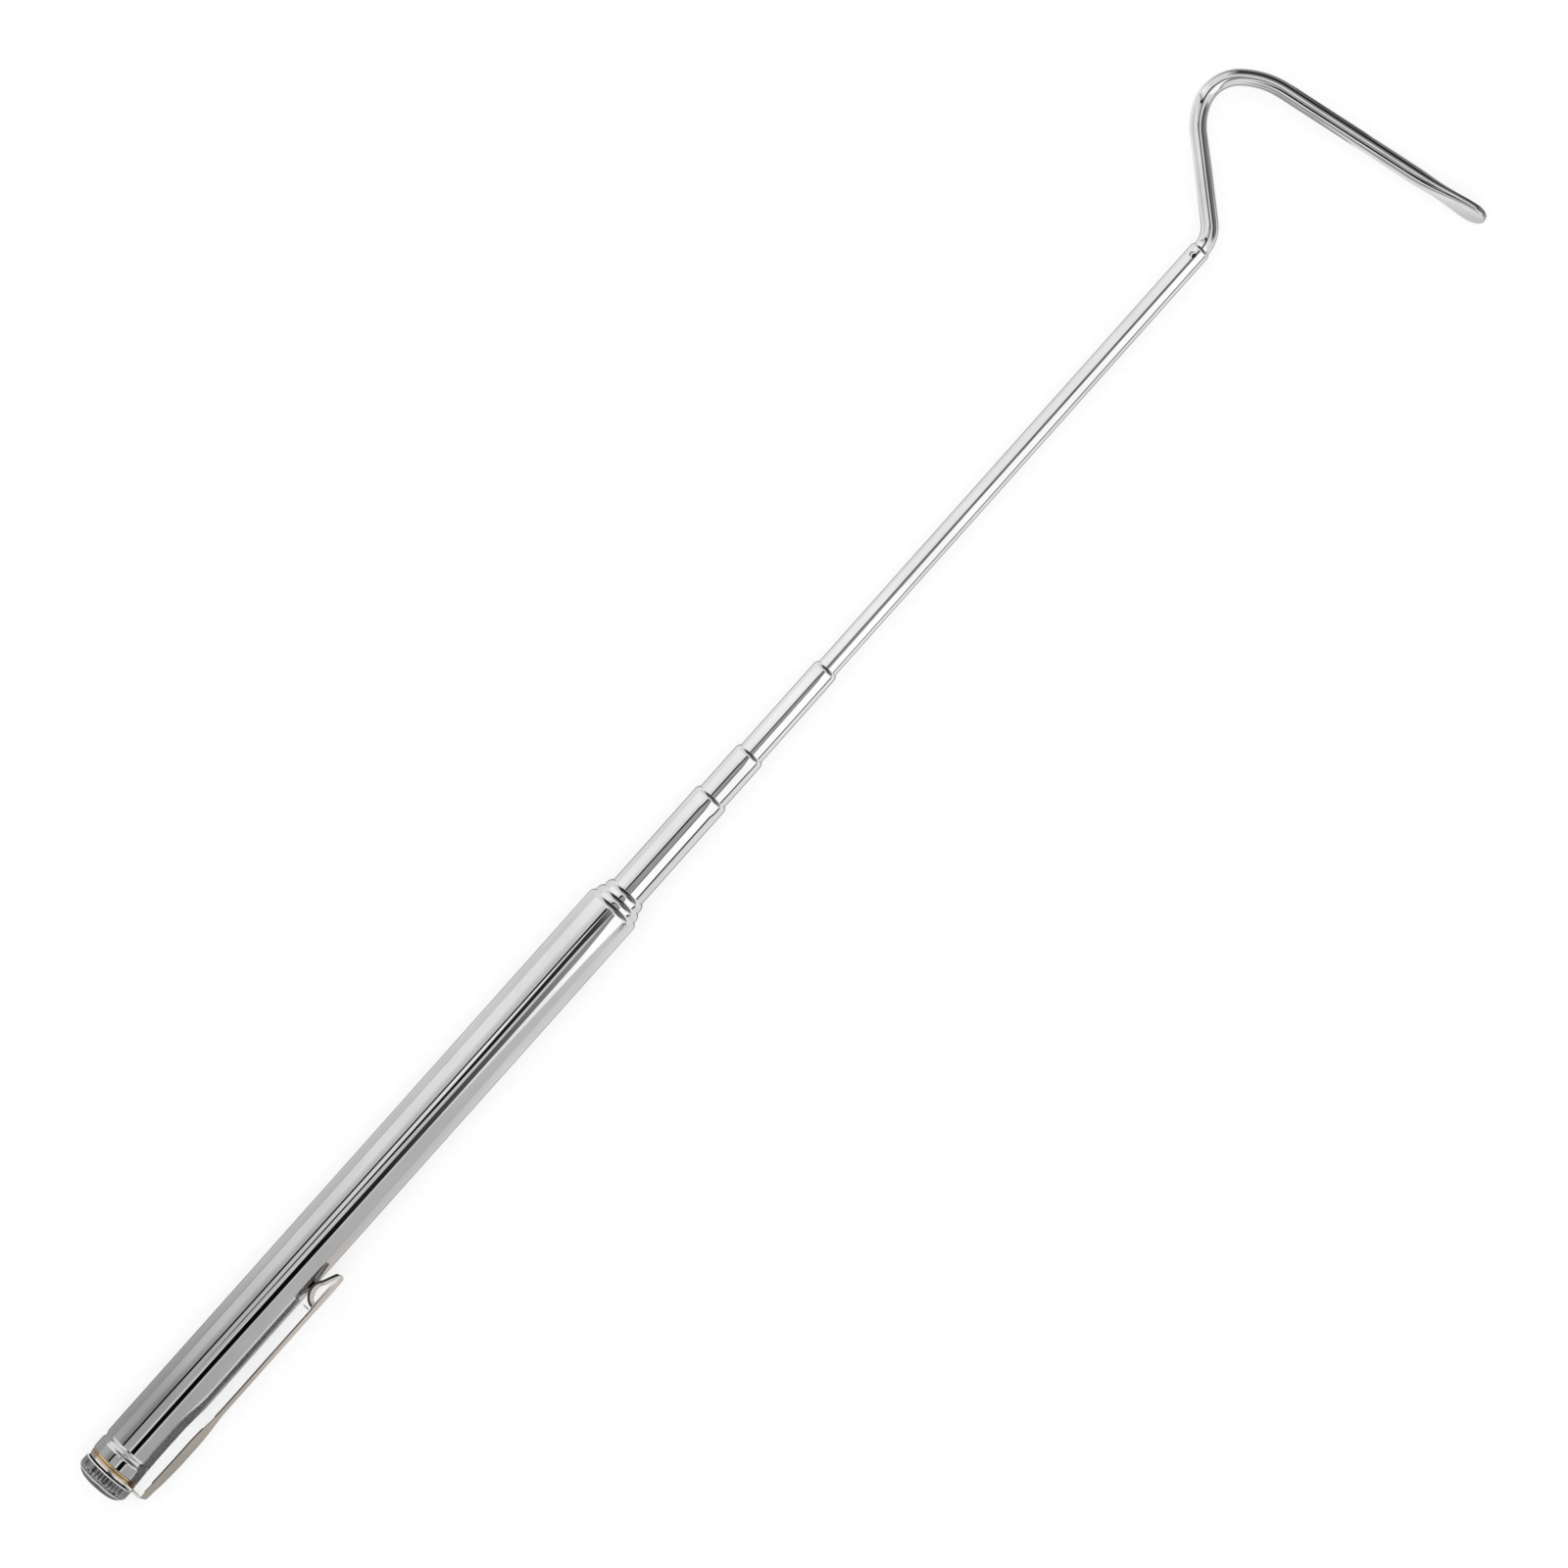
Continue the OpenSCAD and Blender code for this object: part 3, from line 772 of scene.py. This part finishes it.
def greys(stops, start, span, tint=(1, 1, 1)):
    """Stops for tones() from (place, grey) pairs, as shares of a span."""
    return [((x - start) / span, tuple(mirrored(g) * t for t in tint)) for x, g in stops]


floor_size, floor_gap = 16, 0.00002
put_away()
bpy.ops.mesh.primitive_plane_add(size=floor_size, location=(0.18, 0, cad_low.z - floor_gap))
table_top = bpy.context.object
table_top.name = "pale_floor"
settle(table_top)
bpy.ops.object.mode_set(mode="EDIT")
bpy.ops.mesh.select_all(action="SELECT")
bpy.ops.mesh.subdivide(number_cuts=6)
bpy.ops.object.mode_set(mode="OBJECT")

# The floor glows like a light table. The metal mirrors a tone map in its place, greyer toward the cap,
# darker just under the tool and a little warm on the clip's side near the cap.
paper, nodes, links, shader, place = new_finish("pale paper")
fibre = grain(nodes, links, place, (900, 900, 900), 1.0, 3.0)
links.new(tones(nodes, links, fibre, [(0.3, (0.33, 0.33, 0.33)), (0.7, (0.36, 0.36, 0.36))]),
          shader.inputs["Base Color"])
links.new(between(nodes, links, fibre, 0.75, 0.9), shader.inputs["Roughness"])
shader.inputs["Specular IOR Level"].default_value = 0.0
spot = nodes.new("ShaderNodeSeparateXYZ")
links.new(place.outputs["Object"], spot.inputs["Vector"])
floor_marks = [(-5, 142), (10, 142), (30, 156), (50, 176), (80, 188), (110, 198), (135, 200),
               (160, 214), (200, 222), (320, 218), (345, 214), (352, 170), (362, 118), (372, 105)]
floor_start, floor_span, warm_end = -20, 400, 70
warm_tint = (1.06, 0.99, 0.92)
floor_run = between(nodes, links, spot.outputs["X"], 0, 1, floor_start * MM, (floor_start + floor_span) * MM)
even_side = tones(nodes, links, floor_run, greys(floor_marks, floor_start, floor_span))
warm_side = tones(nodes, links, floor_run,
                  greys([m for m in floor_marks if m[0] < warm_end], floor_start, floor_span, warm_tint)
                  + greys([m for m in floor_marks if m[0] >= warm_end], floor_start, floor_span))
half = nodes.new("ShaderNodeMix")
half.data_type = "RGBA"
links.new(between(nodes, links, spot.outputs["Y"], 1, 0, -0.012, -0.002), half.inputs["Factor"])
links.new(even_side, half.inputs["A"])
links.new(warm_side, half.inputs["B"])
beside = nodes.new("ShaderNodeMath")
beside.operation = "ABSOLUTE"
links.new(spot.outputs["Y"], beside.inputs[0])
edge_tone = nodes.new("ShaderNodeVectorMath")
edge_tone.operation = "SCALE"
links.new(half.outputs["Result"], edge_tone.inputs[0])
links.new(between(nodes, links, beside.outputs["Value"], 0.42, 1, 0.0080, 0.0092),
          edge_tone.inputs["Scale"])
mirrored_floor = nodes.new("ShaderNodeEmission")
links.new(edge_tone.outputs["Vector"], mirrored_floor.inputs["Color"])
shader.inputs["Emission Color"].default_value = (0.70, 0.70, 0.70, 1)
shader.inputs["Emission Strength"].default_value = 1.0
ray = nodes.new("ShaderNodeLightPath")
floor_mix = nodes.new("ShaderNodeMixShader")
links.new(ray.outputs["Is Glossy Ray"], floor_mix.inputs["Fac"])
links.new(shader.outputs["BSDF"], floor_mix.inputs[1])
links.new(mirrored_floor.outputs["Emission"], floor_mix.inputs[2])
links.new(floor_mix.outputs["Shader"], nodes["Material Output"].inputs["Surface"])
finish_with(table_top, paper)


# Degrees round the tool that the panels are laid out in; place along the tool where a ray goes straight up
# and the length that turns places into slants, in millimetres; the slant that the panels reach
fan = 240
tent_middle, tent_reach = 185, 1290
tent_half = 0.16


def studio():
    """Light tent of panels along the tool, whose edges and tone change with the place along it.

    Only mirrored rays see it; everything matte gets an even light.
    """
    world = bpy.data.worlds.new("studio tent")
    bpy.context.scene.world = world
    world.use_nodes = True
    nodes, links = world.node_tree.nodes, world.node_tree.links
    nodes.clear()
    out = nodes.new("ShaderNodeOutputWorld")
    place = nodes.new("ShaderNodeTexCoord")
    split = nodes.new("ShaderNodeSeparateXYZ")
    links.new(place.outputs["Generated"], split.inputs["Vector"])

    def sum_up(operation, a, b, c=None, clamp=False):
        node = nodes.new("ShaderNodeMath")
        node.operation = operation
        node.use_clamp = clamp
        for socket, value in zip(node.inputs, (a, b, c)):
            if isinstance(value, (int, float)):
                socket.default_value = value
            elif value is not None:
                links.new(value, socket)
        return node.outputs["Value"]

    def mixed(factor, under, over):
        """Two colours mixed by a factor; the first may be a plain grey."""
        node = nodes.new("ShaderNodeMix")
        node.data_type = "VECTOR"
        links.new(factor, node.inputs[0])
        if isinstance(under, float):
            node.inputs[4].default_value = (under,) * 3
        else:
            links.new(under, node.inputs[4])
        links.new(over, node.inputs[5])
        return node.outputs[1]

    # Angle from straight up, positive toward the clip's side, as a share of the fan
    toward = sum_up("MULTIPLY", split.outputs["Y"], -1)
    angle = sum_up("ARCTAN2", toward, split.outputs["Z"])
    turn = sum_up("MULTIPLY_ADD", angle, 180 / math.pi / fan, 0.5)
    reach_x = sum_up("MULTIPLY_ADD", split.outputs["X"], 1 / (2 * tent_half), 0.5, clamp=True)

    def run_of(rows):
        """Low edge, high edge and tone of a panel for each place along the tool, in millimetres."""
        stops = []
        for x, low, high, level in rows:
            at = min(0.999, max(0.001, (x - tent_middle) / tent_reach / (2 * tent_half) + 0.5))
            stops.append((at, (low / fan + 0.5, high / fan + 0.5, mirrored(level) / 2)))
        colour = tones(nodes, links, reach_x, stops)
        parts = nodes.new("ShaderNodeSeparateColor")
        links.new(colour, parts.inputs["Color"])
        return parts.outputs["Red"], parts.outputs["Green"], sum_up("MULTIPLY", parts.outputs["Blue"], 2)

    def coloured(level, tint):
        scale = nodes.new("ShaderNodeVectorMath")
        scale.operation = "SCALE"
        scale.inputs[0].default_value = tint
        links.new(level, scale.inputs["Scale"])
        return scale.outputs["Vector"]

    def panel(under, soft, rows, tint=(1, 1, 1)):
        """Lays a panel with soft edges, in degrees, over what is there."""
        low, high, level = run_of(rows)
        k = fan / soft
        inside = sum_up("MULTIPLY",
                        sum_up("MULTIPLY_ADD", sum_up("SUBTRACT", turn, low), k, 0.5, clamp=True),
                        sum_up("MULTIPLY_ADD", sum_up("SUBTRACT", high, turn), k, 0.5, clamp=True))
        return mixed(inside, under, coloured(level, tint))

    _, _, level = run_of([(x, 0, 0, g) for x, g in (
        (20, 160), (42, 186), (80, 213), (110, 222), (135, 223), (162, 230), (194, 235), (245, 232),
        (300, 225))])
    tent = coloured(level, (1, 1, 1))
    tent = panel(tent, 26, [
        (20, -50, -30, 112), (42, -45, -26, 140), (80, -40, -22, 165), (110, -38, -18, 172),
        (135, -38, -17, 180), (162, -30, -13, 195), (194, -26, -8, 215), (300, -24, -6, 214)])
    tent = panel(tent, 2, [
        (20, -31, 12, 155), (42, -27, 12, 172), (80, -23, 16, 208), (110, -19, 18, 230),
        (135, -18, 18, 217), (150, -16, 18, 165), (162, -14, 20, 158), (194, -8, 16, 165),
        (245, -6.5, 9, 130), (300, -6, 10, 128), (325, -8, 14, 70)])
    tent = panel(tent, 5, [
        (20, 24, 120, 158), (42, 26, 120, 168), (80, 31, 120, 176), (110, 34, 120, 180),
        (135, 34, 120, 187), (150, 22, 120, 200), (162, 21, 120, 206), (194, 18, 120, 235),
        (245, 10, 120, 220), (300, 10, 120, 215)])
    tent = panel(tent, 3, [
        (84, 33, 33.5, 195), (92, 34, 38, 200), (110, 36, 47, 214), (135, 35, 58, 250),
        (150, 24, 71, 252), (162, 22, 77, 252), (194, 19, 82, 250), (245, 11, 75, 250),
        (300, 11, 75, 248)])
    tent = panel(tent, 1.5, [
        (20, -35, -27.5, 0), (42, -31, -23.7, 0), (80, -26.6, -19.8, 0), (110, -22.6, -16.3, 5),
        (135, -21.5, -14.5, 5), (162, -19.5, -10, 5), (194, -14.5, -5, 10),
        (245, -12, -3.4, 20), (300, -12, -3.4, 20)])
    tent = panel(tent, 1.5, [
        (26, -9.5, -8.5, 155), (34, -9.5, -7, 90), (42, -9.5, -5.5, 35), (80, -6, 1.5, 15),
        (110, -6, 8, 24), (135, -9, 7, 38), (144, -10, 10, 60), (152, -10.5, 16, 150),
        (162, -10, 18, 150), (194, -5, 14, 150), (245, -3.4, 8, 125), (300, -3.4, 8, 120)])
    tent = panel(tent, 1.5, [
        (20, 2.5, 7, 215), (42, 6, 10, 205), (80, 4, 13.5, 182), (110, 9.5, 16, 190),
        (135, 8.5, 14, 196), (144, 12, 15, 170), (152, 12, 15, 150), (300, 5, 7, 122)])
    tent = panel(tent, 2, [
        (20, 8.8, 27.5, 6), (42, 9.8, 29.5, 6), (62, 12, 32, 12), (80, 14.5, 33.5, 34),
        (110, 16.5, 37, 80), (135, 15, 36, 135), (148, 16, 25, 128), (154, 17, 23, 80),
        (162, 17.5, 22.5, 68), (194, 14, 19, 82), (245, 8, 11.5, 108), (300, 8, 11.5, 108)],
        tint=(1.06, 0.97, 0.96))
    tent = panel(tent, 2.5, [
        (20, 26.5, 31, 195), (42, 29, 33, 188), (80, 34.5, 39, 203), (100, 37, 41, 214),
        (120, 38, 44, 235), (150, 40, 50, 252), (300, 40, 50, 248)])
    tent = panel(tent, 2, [
        (140, 118, 119, 200), (148, 71, 82, 60), (154, 69.5, 81, 6), (172, 70.5, 82, 6),
        (179, 75.5, 87, 8), (194, 79.5, 91, 8), (245, 80, 91, 14), (300, 80, 91, 14)])

    # Farther along the tool the tent has tones of its own for the hook: one ramp for the leg, one for the
    # rising part, told apart by how the reflected ray slants; slants that neither uses get an even grey
    flat_x = sum_up("ARCTAN2", split.outputs["X"], split.outputs["Z"])
    leg_stops = [(-118, 215), (-97, 232), (-92, 170), (-78, 158), (-63, 139), (-56, 150), (-52, 222),
                 (-43, 222), (-39, 200), (-35, 20), (-31, 8), (-9, 8), (-6, 100), (6, 140), (11, 149),
                 (19, 216), (27, 216), (34, 127), (48, 114), (54, 100), (58, 20), (68, 6), (81, 10),
                 (87, 130), (96, 170), (110, 60)]
    rise_stops = [(-110, 200), (-90, 193), (-62, 198), (-47, 205), (-34, 216), (-23, 224), (-13, 216),
                  (5, 208), (15, 212), (21, 200), (26, 90), (34, 55), (42, 80), (50, 97), (66, 128),
                  (80, 100), (90, 70)]
    other_grey = 212
    run = between(nodes, links, flat_x, 0, 1, math.radians(-fan / 2), math.radians(fan / 2))
    leg_tones, rise_tones = [tones(nodes, links, run, greys(stops, -fan / 2, fan))
                             for stops in (leg_stops, rise_stops)]
    slant = sum_up("DIVIDE", split.outputs["Y"], split.outputs["X"])
    on_leg = between(nodes, links, slant, 0, 1, -0.55, -0.15)
    on_hook = sum_up("MULTIPLY", between(nodes, links, slant, 0, 1, -2.6, -1.7),
                     between(nodes, links, slant, 1, 0, 0.7, 1.2))
    ends = mixed(on_hook, mirrored(other_grey), mixed(on_leg, rise_tones, leg_tones))
    away = sum_up("ABSOLUTE", split.outputs["X"], 0)
    whole = mixed(between(nodes, links, away, 0, 1, 0.145, 0.165), tent, ends)

    ray = nodes.new("ShaderNodeLightPath")
    seen = nodes.new("ShaderNodeBackground")
    seen.inputs["Strength"].default_value = 1.0
    links.new(whole, seen.inputs["Color"])
    plain = nodes.new("ShaderNodeBackground")
    plain.inputs["Color"].default_value = (0.97, 0.98, 1.0, 1)
    plain.inputs["Strength"].default_value = 0.75
    joined = nodes.new("ShaderNodeMixShader")
    links.new(ray.outputs["Is Glossy Ray"], joined.inputs["Fac"])
    links.new(plain.outputs["Background"], joined.inputs[1])
    links.new(seen.outputs["Background"], joined.inputs[2])
    links.new(joined.outputs["Shader"], out.inputs["Surface"])


studio()

# One wide soft panel overhead evens out the floor
put_away()
bpy.ops.object.light_add(type="AREA", location=(0.18, 0.1, 1.6))
overhead = bpy.context.object
overhead.name = "overhead panel"
overhead.data.shape = "SQUARE"
overhead.data.size = 1.8
overhead.data.energy = 9
overhead.visible_glossy = False


# ---------------------------------------------------------------- camera

camera_turn = math.radians(48.25)
camera_away = 1.29
middle = Vector((0.1849, -0.00843, 0))
look = Vector((0, 0, -1))
camera_data = bpy.data.cameras.new("camera")
camera = bpy.data.objects.new("camera", camera_data)
bpy.context.scene.collection.objects.link(camera)
bpy.context.scene.camera = camera
camera_data.sensor_width = 36
camera_data.lens = 157.2
camera_data.clip_start, camera_data.clip_end = 0.05, 20
up = Vector((math.sin(camera_turn), math.cos(camera_turn), 0))
side = look.cross(up).normalized()
camera.matrix_world = Matrix((side, side.cross(look), -look)).transposed().to_4x4()
camera.location = middle - look * camera_away

bpy.context.scene.view_settings.view_transform = "Standard"

bpy.context.view_layer.update()
